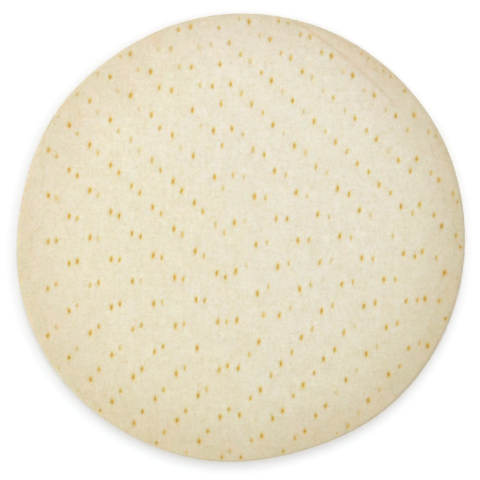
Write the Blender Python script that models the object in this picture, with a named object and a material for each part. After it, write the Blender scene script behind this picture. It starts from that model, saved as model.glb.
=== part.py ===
"""Round par-baked pizza crust: a flat disc of bread, thinner to its edge, with docking holes and a crease.

The crust lies on its underside at z = 0, centred on the origin. Seen from above, +Y is the way the pin
roller travelled and +X is to the right of it.
"""
import math
import random
from dataclasses import dataclass

import bmesh
import bpy
from mathutils.geometry import delaunay_2d_cdt

MM = 0.001

# The whole crust
DIAMETER = 304.8 * MM
THICKNESS = 9.0 * MM
SHOULDER_HEIGHT = 5.2 * MM
SHOULDER_WIDTH = 3.0 * MM
DOME_WIDTH = 45.0 * MM
WIDEST_HEIGHT = 2.6 * MM
TUCK_WIDTH = 2.8 * MM

# The top swells and sags a little away from the edge
SWELL = 0.22 * MM
SWELL_LENGTH = 118.0 * MM
SWELL_PHASE_X = 1.1
SWELL_PHASE_Y = -0.4

# The outline leaves a true circle by these waves: how many round the edge, how far, the phase in degrees
EDGE_WAVES = (
    (2, 1.09 * MM, -79.3),
    (3, 0.75 * MM, 73.7),
    (4, 0.30 * MM, 163.8),
    (6, 0.38 * MM, -135.4),
    (7, 0.22 * MM, 14.0),
    (9, 0.20 * MM, 125.4),
)

# The crease: a slightly bowed fold line from the upper edge down the right, with a slack band outside it
CREASE_DIRECTION = math.radians(49.9)
CREASE_DISTANCE = 135.8 * MM
CREASE_MIDDLE = 21.0 * MM
CREASE_BOW = 4.0 * MM
CREASE_HALF_LENGTH = 50.0 * MM
CREASE_FADE_START = 34.0 * MM
CREASE_DEPTH = 0.7 * MM
CREASE_WIDTH = 1.3 * MM
CREASE_SHOULDER = 2.4 * MM
SLACK_DEPTH = 0.28 * MM
SLACK_WIDTH = 8.0 * MM

# The docking holes: pins stand in staggered columns, nine columns to each section of the roller
SECTIONS = 3
SECTION_COLUMNS = 9
PIN_ROWS = 14
PIN_MARGIN = 3.3 * MM
EDGE_CATCH = -0.5 * MM
EDGE_SLACK = 0.05 * MM
HOLE_LENGTH = 4.4 * MM
HOLE_SLIMNESS = 2.05
HOLE_SIZE_SPREAD = 0.08
HOLE_TILT = math.radians(-6.0)
HOLE_TILT_SPREAD = math.radians(5.0)
HOLE_LEAN_X = 0.25 * MM
HOLE_LEAN_Y = -0.45 * MM
HOLE_SPACING = 4.8 * MM
EDGE_ROOM = 0.6
SHALLOW_BAND = 10.0 * MM
SHALLOW_SHARE = 0.75
HOLE_SEED = 12

# A few pricks inside the rows closed again in the oven: where they were, in mm
HEALED_PRICKS = ((95.4, 4.4), (-40.9, 89.5), (-26.0, 47.8), (-23.5, -72.1), (5.1, -48.5), (19.9, -62.9))
HEALED_REACH = 2.0 * MM

# One blister that burst among the rows
BURST_X = 15.6 * MM
BURST_Y = -51.6 * MM
BURST_WIDTH = 2.8 * MM
BURST_LENGTH = 4.2 * MM
BURST_DEPTH = 2.2 * MM

# How the dough had shifted when it set, as shares of the position over the reference radius
DISTORTION_RADIUS = 150.0 * MM
KEYSTONE = 0.0356
LEAN = 0.0271
SQUEEZE = 0.0453
STRETCH = 0.0269

# Fineness of the faceted surface
OUTLINE_POINTS = 144
SHOULDER_INSETS = (0.2 * MM, 0.7 * MM, 1.4 * MM)
RING_INSETS = (2.8 * MM, 5.0 * MM, 9.0 * MM, 15.0 * MM, 23.0 * MM)
RING_CHECKS = 9
TUCK_STEPS = 4
MOUTH_POINTS = 8
CREASE_POINTS = 21
CLEARANCE = 0.9 * MM
EDGE_CLEARANCE = 0.3 * MM
INSIDE_TRIANGLES = 1
MERGE_DISTANCE = 1e-9
SHARP_ANGLE = math.radians(40.0)

# Pale baked dough, as linear colour
DOUGH_COLOUR = (0.807, 0.730, 0.565, 1.0)
DOUGH_ROUGHNESS = 0.82


@dataclass(frozen=True)
class RollerPass:
    """One trip of the pin roller over the dough."""

    column_step: float
    row_step: float
    column_rise: float
    first_x: float
    first_y: float
    section_step: float
    section_slip: tuple
    size: float
    depth: float
    depth_spread: float


@dataclass(frozen=True)
class Hole:
    """One docking hole: a narrow slot that closes to a point."""

    x: float
    y: float
    width: float
    length: float
    tilt: float
    depth: float

    def outline(self):
        """Return the points round the mouth."""
        points = []
        for index in range(MOUTH_POINTS):
            angle = 2.0 * math.pi * index / MOUTH_POINTS
            across = self.width / 2 * math.cos(angle)
            along = self.length / 2 * math.sin(angle)
            points.append((
                self.x + across * math.cos(self.tilt) - along * math.sin(self.tilt),
                self.y + across * math.sin(self.tilt) + along * math.cos(self.tilt),
            ))
        return points

    def covers(self, x, y, grow):
        """Tell whether a point lies within the mouth grown by a margin."""
        along = (y - self.y) * math.cos(self.tilt) - (x - self.x) * math.sin(self.tilt)
        across = (x - self.x) * math.cos(self.tilt) + (y - self.y) * math.sin(self.tilt)
        return math.hypot(across / (self.width / 2 + grow), along / (self.length / 2 + grow)) < 1.0


FIRST_PASS = RollerPass(
    column_step=14.21 * MM, row_step=16.40 * MM, column_rise=1.46 * MM,
    first_x=-130.2 * MM, first_y=-2.3 * MM,
    section_step=126.4 * MM, section_slip=(0.0, 0.0, 0.0),
    size=1.0, depth=3.8 * MM, depth_spread=0.3 * MM,
)
SECOND_PASS = RollerPass(
    column_step=14.23 * MM, row_step=15.06 * MM, column_rise=0.70 * MM,
    first_x=-124.6 * MM, first_y=-1.6 * MM,
    section_step=128.3 * MM, section_slip=(0.0, 7.2 * MM, 5.4 * MM),
    size=0.9, depth=2.8 * MM, depth_spread=0.5 * MM,
)


def outline_radius(angle):
    """Return the crust's radius at an angle, before the outline is centred."""
    waves = sum(size * math.cos(count * angle + math.radians(phase)) for count, size, phase in EDGE_WAVES)
    return DIAMETER / 2 + waves


def outline_centre(samples=720):
    """Return the middle of the outline's bounding box."""
    angles = [2.0 * math.pi * index / samples for index in range(samples)]
    xs = [outline_radius(angle) * math.cos(angle) for angle in angles]
    ys = [outline_radius(angle) * math.sin(angle) for angle in angles]
    return (min(xs) + max(xs)) / 2, (min(ys) + max(ys)) / 2


def edge_distance(x, y):
    """Return how far inside the outline a point lies."""
    return outline_radius(math.atan2(y, x)) - math.hypot(x, y)


def ramp(value, start, end):
    """Rise smoothly from 0 at start to 1 at end."""
    share = min(max((value - start) / (end - start), 0.0), 1.0)
    return share * share * (3.0 - 2.0 * share)


def crease_reach(along):
    """Return how far from the origin the crease passes, a given way along from its middle."""
    return CREASE_DISTANCE + CREASE_BOW * (1.0 - (along / CREASE_HALF_LENGTH) ** 2)


def crease_place(x, y):
    """Return how far along from the crease's middle, and how far beyond it, a point lies."""
    along = y * math.cos(CREASE_DIRECTION) - x * math.sin(CREASE_DIRECTION) - CREASE_MIDDLE
    out = x * math.cos(CREASE_DIRECTION) + y * math.sin(CREASE_DIRECTION)
    return along, out - crease_reach(along)


def crease_point(along, beyond):
    """Return the point a given way along the crease and beyond it."""
    out = crease_reach(along) + beyond
    side = along + CREASE_MIDDLE
    x = out * math.cos(CREASE_DIRECTION) - side * math.sin(CREASE_DIRECTION)
    y = out * math.sin(CREASE_DIRECTION) + side * math.cos(CREASE_DIRECTION)
    return x, y


def crease_drop(x, y):
    """Return how far the crease, and the slack band outside it, lower the top."""
    along, beyond = crease_place(x, y)
    fade = 1.0 - ramp(abs(along), CREASE_FADE_START, CREASE_HALF_LENGTH)
    groove = CREASE_DEPTH * math.exp(-(beyond / CREASE_WIDTH) ** 2)
    return fade * (groove + SLACK_DEPTH * ramp(beyond, 0.0, SLACK_WIDTH))


def top_height(x, y):
    """Return the height of the top surface, without its holes."""
    inset = max(edge_distance(x, y), 0.0)
    shoulder = math.sqrt(1.0 - max(1.0 - inset / SHOULDER_WIDTH, 0.0) ** 2)
    dome = 1.0 - max(1.0 - inset / DOME_WIDTH, 0.0) ** 2
    wave = 2.0 * math.pi / SWELL_LENGTH
    swell = SWELL * (math.sin(wave * x + SWELL_PHASE_X) * math.cos(wave * y + SWELL_PHASE_Y) - 1.0)
    edge = WIDEST_HEIGHT + (SHOULDER_HEIGHT - WIDEST_HEIGHT - crease_drop(x, y)) * shoulder
    return edge + (THICKNESS - SHOULDER_HEIGHT + swell) * dome


def shifted(x, y):
    """Return where a pin's mark ended up once the dough had drawn in and set."""
    reach = (x * x + y * y) / DISTORTION_RADIUS ** 2
    moved_x = x - KEYSTONE * x * y / DISTORTION_RADIUS - LEAN * y
    moved_y = y - SQUEEZE * y * reach - STRETCH * y * y / DISTORTION_RADIUS
    return moved_x, moved_y


def drawn_in(x, y):
    """Return a mark near the edge where the rounding of the edge drew it in; others stay."""
    radius = math.hypot(x, y)
    inside = edge_distance(x, y)
    if not EDGE_CATCH < inside < PIN_MARGIN:
        return x, y
    share = (radius - PIN_MARGIN + inside) / radius
    return x * share, y * share


def pass_marks(roller):
    """Yield the places that one pass of the roller pricked."""
    for section in range(SECTIONS):
        for column in range(SECTION_COLUMNS):
            across = column * roller.column_step + section * roller.section_step
            for row in range(-PIN_ROWS, PIN_ROWS + 1):
                if (row + column) % 2:
                    continue
                rise = roller.column_rise * across / roller.column_step
                y = roller.first_y - roller.row_step * row + rise + roller.section_slip[section]
                yield drawn_in(*shifted(roller.first_x + across, y))


def healed(x, y):
    """Tell whether a prick is one of those that closed again."""
    return any(math.hypot(x - old_x * MM, y - old_y * MM) < HEALED_REACH for old_x, old_y in HEALED_PRICKS)


def docking_holes():
    """Return the open holes of both passes that fall on the crust, and the burst blister."""
    chance = random.Random(HOLE_SEED)
    holes = []
    for roller in (FIRST_PASS, SECOND_PASS):
        for x, y in pass_marks(roller):
            inside = edge_distance(x, y)
            if inside < PIN_MARGIN - EDGE_SLACK:
                continue
            room = (inside - SHOULDER_INSETS[-1]) / (EDGE_ROOM * HOLE_LENGTH)
            length = HOLE_LENGTH * roller.size * min(1.0, room)
            length *= 1.0 + chance.uniform(-HOLE_SIZE_SPREAD, HOLE_SIZE_SPREAD)
            tilt = chance.gauss(HOLE_TILT, HOLE_TILT_SPREAD)
            depth = chance.gauss(roller.depth, roller.depth_spread)
            depth *= SHALLOW_SHARE + (1.0 - SHALLOW_SHARE) * ramp(inside, 0.0, SHALLOW_BAND)
            crowded = any(math.hypot(x - other.x, y - other.y) < HOLE_SPACING for other in holes)
            if not crowded and not healed(x, y):
                holes.append(Hole(x, y, length / HOLE_SLIMNESS, length, tilt, depth))
    holes.append(Hole(BURST_X, BURST_Y, BURST_WIDTH, BURST_LENGTH, 0.0, BURST_DEPTH))
    return holes


def ring(inset):
    """Return evenly spaced points round the outline, moved inward by inset."""
    points = []
    for index in range(OUTLINE_POINTS):
        angle = 2.0 * math.pi * index / OUTLINE_POINTS
        radius = outline_radius(angle) - inset
        points.append((radius * math.cos(angle), radius * math.sin(angle)))
    return points


def near_crease(x, y):
    """Tell whether a point lies where the crease has points of its own."""
    along, beyond = crease_place(x, y)
    return abs(along) < CREASE_HALF_LENGTH + CREASE_SHOULDER and abs(beyond) < 2.0 * CREASE_SHOULDER


def crease_lines():
    """Return three lines of points that follow the crease, its bottom and shoulders, clear of the edge."""
    step = 2.0 * CREASE_HALF_LENGTH / (CREASE_POINTS - 1)
    places = [index * step - CREASE_HALF_LENGTH for index in range(CREASE_POINTS)]
    lines = [[crease_point(along, beyond) for along in places]
             for beyond in (-CREASE_SHOULDER, 0.0, CREASE_SHOULDER)]
    return [[point if edge_distance(*point) > RING_INSETS[0] else None for point in line] for line in lines]


def free_of(holes, x, y, grow):
    """Tell whether a point keeps clear of every hole."""
    return not any(hole.covers(x, y, grow) for hole in holes)


def edge_is_free(holes, start, end):
    """Tell whether the straight line between two points crosses no hole."""
    for index in range(RING_CHECKS):
        share = index / (RING_CHECKS - 1)
        x = start[0] + share * (end[0] - start[0])
        y = start[1] + share * (end[1] - start[1])
        if not free_of(holes, x, y, EDGE_CLEARANCE):
            return False
    return True


class TopPlan:
    """The top seen from above: points with heights, and the edges that the triangles keep."""

    def __init__(self, holes):
        self.holes = holes
        self.points = []
        self.heights = []
        self.edges = []

    def add_loop(self, points, heights):
        """Add a closed loop of points and its edges."""
        start = len(self.points)
        count = len(points)
        self.points.extend(points)
        self.heights.extend(heights)
        self.edges.extend((start + index, start + (index + 1) % count) for index in range(count))

    def add_hole(self, hole):
        """Add a hole's mouth and the point that it closes to."""
        mouth = hole.outline()
        self.add_loop(mouth, [top_height(x, y) for x, y in mouth])
        lean = hole.depth / FIRST_PASS.depth
        self.points.append((hole.x + HOLE_LEAN_X * lean, hole.y + HOLE_LEAN_Y * lean))
        self.heights.append(top_height(hole.x, hole.y) - hole.depth)

    def add_line(self, points):
        """Add a line of surface points, broken at each gap and wherever it would touch a hole."""
        before = None
        for point in points:
            if point is None or not free_of(self.holes, *point, CLEARANCE):
                before = None
                continue
            here = len(self.points)
            self.points.append(point)
            self.heights.append(top_height(*point))
            if before is not None and edge_is_free(self.holes, self.points[before], point):
                self.edges.append((before, here))
            before = here

    def triangulated(self):
        """Return the vertices, the number each had in the plan, and the triangles between them."""
        coords, _, triangles, origins, _, _ = delaunay_2d_cdt(
            self.points, self.edges, [], INSIDE_TRIANGLES, MERGE_DISTANCE)
        numbers = [origin[0] for origin in origins]
        vertices = [(point.x, point.y, self.heights[number]) for point, number in zip(coords, numbers)]
        return vertices, numbers, triangles


def top_plan(holes):
    """Lay out the top inside the edge's shoulder; the shoulder's loop comes first."""
    plan = TopPlan(holes)
    shoulder = ring(SHOULDER_INSETS[-1])
    plan.add_loop(shoulder, [top_height(x, y) for x, y in shoulder])
    for hole in holes:
        plan.add_hole(hole)
    for line in crease_lines():
        plan.add_line(line)
    for inset in RING_INSETS:
        plan.add_line([None if near_crease(*point) else point for point in ring(inset)])
    return plan


def stitch(body, upper, lower):
    """Join two rings of vertices by a band of quads."""
    for index in range(len(upper)):
        following = (index + 1) % len(upper)
        body.faces.new((upper[index], lower[index], lower[following], upper[following]))


def side_rings():
    """Return the rings of points from the shoulder, over the widest line, to the underside."""
    rings = []
    for inset in reversed(SHOULDER_INSETS[:-1]):
        rings.append([(x, y, top_height(x, y)) for x, y in ring(inset)])
    for step in range(TUCK_STEPS + 1):
        turn = math.pi / 2 * step / TUCK_STEPS
        height = WIDEST_HEIGHT * (1.0 - math.sin(turn))
        rings.append([(x, y, height) for x, y in ring(TUCK_WIDTH * (1.0 - math.cos(turn)))])
    return rings


def crust_mesh():
    """Build the closed faceted body of the crust and return its mesh."""
    vertices, numbers, triangles = top_plan(docking_holes()).triangulated()
    body = bmesh.new()
    corners = [body.verts.new(vertex) for vertex in vertices]
    for triangle in triangles:
        body.faces.new([corners[index] for index in triangle])
    by_number = dict(zip(numbers, corners))
    upper = [by_number[number] for number in range(OUTLINE_POINTS)]
    for points in side_rings():
        lower = [body.verts.new(point) for point in points]
        stitch(body, upper, lower)
        upper = lower
    body.faces.new(list(reversed(upper)))
    bmesh.ops.recalc_face_normals(body, faces=body.faces)
    middle_x, middle_y = outline_centre()
    bmesh.ops.translate(body, vec=(-middle_x, -middle_y, 0.0), verts=body.verts)
    mesh = bpy.data.meshes.new("pizza_crust")
    body.to_mesh(mesh)
    body.free()
    return mesh


def dough_material():
    """Return the matt pale surface of the baked dough."""
    material = bpy.data.materials.new("baked_dough")
    material.use_nodes = True
    shader = material.node_tree.nodes["Principled BSDF"]
    shader.inputs["Base Color"].default_value = DOUGH_COLOUR
    shader.inputs["Roughness"].default_value = DOUGH_ROUGHNESS
    shader.inputs["Metallic"].default_value = 0.0
    material.diffuse_color = DOUGH_COLOUR
    return material


def main():
    """Clear the scene and make the crust."""
    for item in list(bpy.data.objects):
        bpy.data.objects.remove(item)
    crust = bpy.data.objects.new("pizza_crust", crust_mesh())
    bpy.context.scene.collection.objects.link(crust)
    crust.data.materials.append(dough_material())
    crust.data.shade_smooth()
    crust.data.set_sharp_from_angle(angle=SHARP_ANGLE)


main()
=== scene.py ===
"""Dress a round par-baked pizza crust in its baked surface, within the frame of its CAD model.

The crust lies on its underside at z = 0, with its bounding box centred on the origin. Seen from above, +Y is
the way the docker rolled over the dough and +X is to its right. The fine mesh follows the outline, the dome,
the crease and the docking holes of the CAD solid, with a shallower crease and shallower holes, and adds the
skin and the colours of baked dough.
"""

import logging
import math
import random
from collections.abc import Iterator, Sequence
from dataclasses import dataclass, field, fields
from enum import Enum
from types import SimpleNamespace
from typing import Optional, Union

import bpy
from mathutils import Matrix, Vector
from mathutils.geometry import delaunay_2d_cdt
from mathutils.kdtree import KDTree


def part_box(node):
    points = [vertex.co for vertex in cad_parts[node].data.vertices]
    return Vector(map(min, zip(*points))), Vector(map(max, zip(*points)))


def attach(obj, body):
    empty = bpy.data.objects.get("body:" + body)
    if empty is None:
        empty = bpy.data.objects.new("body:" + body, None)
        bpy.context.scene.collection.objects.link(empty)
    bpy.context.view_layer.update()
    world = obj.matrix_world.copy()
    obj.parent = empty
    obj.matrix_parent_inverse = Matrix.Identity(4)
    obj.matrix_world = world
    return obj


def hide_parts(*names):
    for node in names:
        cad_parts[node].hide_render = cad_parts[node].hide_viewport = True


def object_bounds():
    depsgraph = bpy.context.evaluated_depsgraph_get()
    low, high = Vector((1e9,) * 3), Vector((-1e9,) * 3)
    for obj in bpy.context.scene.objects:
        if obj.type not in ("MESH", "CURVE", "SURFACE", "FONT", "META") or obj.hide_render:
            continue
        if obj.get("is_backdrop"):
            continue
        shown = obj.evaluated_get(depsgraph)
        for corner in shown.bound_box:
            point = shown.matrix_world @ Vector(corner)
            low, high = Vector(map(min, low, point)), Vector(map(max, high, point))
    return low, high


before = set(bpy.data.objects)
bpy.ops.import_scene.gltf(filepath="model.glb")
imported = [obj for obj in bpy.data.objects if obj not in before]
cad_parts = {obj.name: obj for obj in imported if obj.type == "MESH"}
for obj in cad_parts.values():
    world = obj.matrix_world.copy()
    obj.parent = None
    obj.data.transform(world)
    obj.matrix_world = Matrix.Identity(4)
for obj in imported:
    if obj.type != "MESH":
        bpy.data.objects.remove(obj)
CAD_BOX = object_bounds()

Span = tuple[float, float]
Point = tuple[float, float]
Place = tuple[float, float, float]
Colour = tuple[float, float, float, float]

MM = 0.001
WHITE: Colour = (1.0, 1.0, 1.0, 1.0)
NODE = "pizza_crust"
BODY = "root"
LOG = logging.getLogger("crust")


class Skin(Enum):
    """The values that the blank and the docking leave on the mesh for its finish to read."""

    INSET = "edge_inset"
    UNDER = "underside"
    FOLD = "crease"
    PRICK = "prick"
    HALO = "halo"


class Pin(Enum):
    """The values that each docker pin carries into the Geometry Nodes."""

    HALF_WIDTH = "half_width"
    HALF_LENGTH = "half_length"
    TILT = "tilt"
    DEPTH = "depth"
    BAKE = "bake"


def ramp(value: float, start: float, end: float) -> float:
    """Return how far a value has risen, smoothly from 0 at the start to 1 at the end."""
    share = min(max((value - start) / (end - start), 0.0), 1.0)
    return share * share * (3.0 - 2.0 * share)


def turned(x: float, y: float, angle: float) -> Point:
    """Return a point turned counterclockwise about the origin."""
    cosine, sine = math.cos(angle), math.sin(angle)
    return x * cosine - y * sine, x * sine + y * cosine


def spread_angles(count: int) -> list[float]:
    """Return angles spread evenly over a full turn, counterclockwise from +X."""
    return [2.0 * math.pi * index / count for index in range(count)]


def neighbours(loop: Sequence[int]) -> list[tuple[int, int]]:
    """Pair each number of a closed loop with the next one."""
    return list(zip(loop, [*loop[1:], loop[0]]))


def carry(mesh: bpy.types.Mesh, values: dict[Enum, list[float]]) -> None:
    """Leave lists of values on the points of a mesh, each under its own name."""
    for kind, numbers in values.items():
        mesh.attributes.new(kind.value, "FLOAT", "POINT").data.foreach_set("value", numbers)


def linked(name: str, data: bpy.types.ID) -> bpy.types.Object:
    """Make an object and put it in the scene.

    Args:
        name: The object's name.
        data: Its mesh, lamp or camera.

    Returns:
        The object.
    """
    made = bpy.data.objects.new(name, data)
    bpy.context.scene.collection.objects.link(made)
    return made


# ---- Node building -------------------------------------------------------------------------------------


class Expr:
    """An output socket of a node, on which arithmetic adds Math nodes."""

    def __init__(self, graph: "Graph", socket: bpy.types.NodeSocket) -> None:
        """Wrap an output socket of a graph."""
        self.graph = graph
        self.socket = socket

    def __add__(self, other: "Operand") -> "Expr":
        """Return self + other."""
        return self.graph.math("ADD", self, other)

    def __sub__(self, other: "Operand") -> "Expr":
        """Return self - other."""
        return self.graph.math("SUBTRACT", self, other)

    def __rsub__(self, other: "Operand") -> "Expr":
        """Return other - self."""
        return self.graph.math("SUBTRACT", other, self)

    def __mul__(self, other: "Operand") -> "Expr":
        """Return self * other."""
        return self.graph.math("MULTIPLY", self, other)

    def __truediv__(self, other: "Operand") -> "Expr":
        """Return self / other."""
        return self.graph.math("DIVIDE", self, other)

    def __rtruediv__(self, other: "Operand") -> "Expr":
        """Return other / self."""
        return self.graph.math("DIVIDE", other, self)

    __radd__ = __add__
    __rmul__ = __mul__


Operand = Union[Expr, float]
Feed = Union[Expr, float, str, Place, Colour]
Key = Union[int, str]
Settings = Optional[dict[str, str]]
Inputs = Optional[dict[Key, Feed]]


class Graph:
    """A node tree that is written as expressions."""

    def __init__(self, tree: bpy.types.NodeTree) -> None:
        """Start from an empty tree."""
        self.tree = tree
        tree.nodes.clear()

    @staticmethod
    def pick(sockets: bpy.types.bpy_prop_collection, key: Key) -> bpy.types.NodeSocket:
        """Return a socket by its number, or by its name among those in use."""
        named = (socket for socket in sockets if socket.enabled and socket.name == key)
        return sockets[key] if isinstance(key, int) else next(named)

    def node(self, kind: str, settings: Settings = None, inputs: Inputs = None) -> bpy.types.Node:
        """Add a node.

        Args:
            kind: The node's type.
            settings: Its properties, set first.
            inputs: The values or links of its sockets, by number or name.

        Returns:
            The node.
        """
        made = self.tree.nodes.new(kind)
        for name, value in (settings or {}).items():
            setattr(made, name, value)
        for key, value in (inputs or {}).items():
            socket = self.pick(made.inputs, key)
            if isinstance(value, Expr):
                self.tree.links.new(value.socket, socket)
            else:
                socket.default_value = value
        return made

    def expr(self, kind: str, settings: Settings = None, inputs: Inputs = None, output: Key = 0) -> Expr:
        """Add a node and return one of its outputs, by number or name."""
        return Expr(self, self.pick(self.node(kind, settings, inputs).outputs, output))

    def math(self, operation: str, *values: Operand) -> Expr:
        """Return the result of a Math node."""
        return self.expr("ShaderNodeMath", {"operation": operation}, dict(enumerate(values)))

    def vector(self, operation: str, *values: Feed, output: Key = 0) -> Expr:
        """Return the result of a Vector Math node."""
        return self.expr("ShaderNodeVectorMath", {"operation": operation}, dict(enumerate(values)), output)

    def dot(self, first: Feed, second: Feed) -> Expr:
        """Return the dot product of two vectors."""
        return self.vector("DOT_PRODUCT", first, second, output="Value")

    def scaled(self, vector: Expr, scale: Operand) -> Expr:
        """Return a vector times a number."""
        return self.expr("ShaderNodeVectorMath", {"operation": "SCALE"}, {0: vector, "Scale": scale})

    def combined(self, *numbers: Operand) -> Expr:
        """Return the vector of three numbers."""
        return self.expr("ShaderNodeCombineXYZ", None, dict(enumerate(numbers)))

    def split(self, vector: Expr) -> tuple[Expr, ...]:
        """Return the three numbers of a vector."""
        parts = self.node("ShaderNodeSeparateXYZ", None, {0: vector})
        return tuple(Expr(self, socket) for socket in parts.outputs)

    def flattened(self, vector: Expr) -> Expr:
        """Return a vector without its height."""
        return self.vector("MULTIPLY", vector, (1.0, 1.0, 0.0))

    def length(self, x: Expr, y: Expr) -> Expr:
        """Return the length of a flat vector."""
        return self.math("SQRT", x * x + y * y)

    def rise(self, value: Expr, start: Operand, end: Operand, low: float = 0.0, high: float = 1.0) -> Expr:
        """Turn a value smoothly into a share that is low at the start and high at the end."""
        return self.expr("ShaderNodeMapRange", {"interpolation_type": "SMOOTHSTEP"}, {
            "Value": value, "From Min": start, "From Max": end, "To Min": low, "To Max": high})

    def noise(self, place: Expr, size: Operand, detail: float = 1.0, roughness: float = 0.5) -> Expr:
        """Return cloudy noise, by the size of its largest features and its finer layers."""
        return self.expr("ShaderNodeTexNoise", None, {
            "Vector": place, "Scale": 1.0 / size, "Detail": detail, "Roughness": roughness})

    def place(self) -> Expr:
        """Return the object's own coordinates, for a material."""
        return self.expr("ShaderNodeTexCoord", output="Object")

    def attribute(self, skin: Skin) -> Expr:
        """Return a value that the mesh carries, for a material."""
        return self.expr("ShaderNodeAttribute", {"attribute_name": skin.value}, None, "Fac")

    def named(self, kind: Enum) -> Expr:
        """Return a value that the points carry, for Geometry Nodes."""
        return self.expr("GeometryNodeInputNamedAttribute", {"data_type": "FLOAT"}, {"Name": kind.value})

    def position(self) -> Expr:
        """Return where a point lies, for Geometry Nodes."""
        return self.expr("GeometryNodeInputPosition")

    def nearest(self, points: Expr, place: Expr) -> Expr:
        """Return the number of the point nearest to a place."""
        return self.expr("GeometryNodeSampleNearest", {"domain": "POINT"}, {
            "Geometry": points, "Sample Position": place})

    def sampled(self, points: Expr, index: Expr, value: Expr, kind: str = "FLOAT") -> Expr:
        """Return the value that one of the points has, by its number."""
        return self.expr("GeometryNodeSampleIndex", {"data_type": kind, "domain": "POINT"}, {
            "Geometry": points, "Value": value, "Index": index})

    def mixed(self, share: Operand, first: Feed, second: Feed, blend: str = "MIX") -> Expr:
        """Lay a second colour on a first one, as far as a share says."""
        return self.expr("ShaderNodeMix", {"data_type": "RGBA", "blend_type": blend},
                         {"Factor": share, "A": first, "B": second}, "Result")


# ---- The form of the crust -----------------------------------------------------------------------------


@dataclass(frozen=True)
class EdgeWave:
    """One wave by which the outline leaves a true circle."""

    count: int
    size: float
    phase: float

    def offset(self, angle: float) -> float:
        """Return how far out the wave moves the outline at an angle."""
        return self.size * math.cos(self.count * angle + math.radians(self.phase))


@dataclass(frozen=True)
class Crease:
    """The slightly bowed fold line from the upper edge down the right, with a slack band outside it."""

    # Its line lies across a direction, bows outwards and fades out towards both ends.
    direction: float = math.radians(49.9)
    distance: float = 135.8 * MM
    middle: float = 21.0 * MM
    bow: float = 4.0 * MM
    half_length: float = 50.0 * MM
    fade_start: float = 38.0 * MM
    # Its form is a groove, with the skin outside it a little lower.
    depth: float = 0.25 * MM
    width: float = 1.35 * MM
    slack_depth: float = 0.28 * MM
    slack_width: float = 8.0 * MM
    # Its tan is strongest near the upper end; a fine wrinkle branches off it downwards and outwards.
    slack_stain: float = 0.22
    groove_stain: float = 0.74
    upper_stain: float = 0.26
    upper_start: float = 16.0 * MM
    upper_end: float = 30.0 * MM
    branch_start: float = 1.0 * MM
    branch_length: float = 26.0 * MM
    branch_taper: float = 8.0 * MM
    branch_slope: float = 0.36
    branch_width: float = 1.1 * MM
    branch_stain: float = 0.44

    def reach(self, along: float) -> float:
        """Return how far from the origin the crease passes, a given way along from its middle."""
        return self.distance + self.bow * (1.0 - (along / self.half_length) ** 2)

    def fade(self, along: float) -> float:
        """Return how much of the crease is left, a given way along from its middle."""
        return 1.0 - ramp(abs(along), self.fade_start, self.half_length)

    def point(self, along: float, beyond: float) -> Point:
        """Return the point a given way along the crease and beyond it."""
        return turned(self.reach(along) + beyond, along + self.middle, self.direction)

    def place(self, x: float, y: float) -> Point:
        """Return how far along from the crease's middle, and how far beyond it, a point lies."""
        out, side = turned(x, y, -self.direction)
        return side - self.middle, out - self.reach(side - self.middle)

    def groove(self, x: float, y: float) -> float:
        """Return the share of the groove's full depth at a point."""
        along, beyond = self.place(x, y)
        return self.fade(along) * math.exp(-(beyond / self.width) ** 2)

    def slack(self, x: float, y: float) -> float:
        """Return the share of the slack band's full depth at a point."""
        along, beyond = self.place(x, y)
        return self.fade(along) * ramp(beyond, 0.0, self.slack_width)

    def drop(self, x: float, y: float) -> float:
        """Return how far the groove and the slack band lower the top at a point."""
        return self.depth * self.groove(x, y) + self.slack_depth * self.slack(x, y)

    def stain(self, x: float, y: float) -> float:
        """Tell how the crease tans the skin.

        Args:
            x: The point's x.
            y: The point's y.

        Returns:
            How strong the tan is in the groove, in the fine wrinkle that branches off it and outside both.
        """
        along, beyond = self.place(x, y)
        down = self.branch_start - along
        branch = math.exp(-((beyond - self.branch_slope * down) / self.branch_width) ** 2)
        branch *= ramp(down, 0.0, self.branch_taper)
        branch *= 1.0 - ramp(down, self.branch_length - self.branch_taper, self.branch_length)
        groove = self.groove_stain + self.upper_stain * ramp(along, self.upper_start, self.upper_end)
        groove *= self.groove(x, y)
        return max(groove, self.branch_stain * branch, self.slack_stain * self.slack(x, y))


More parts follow.
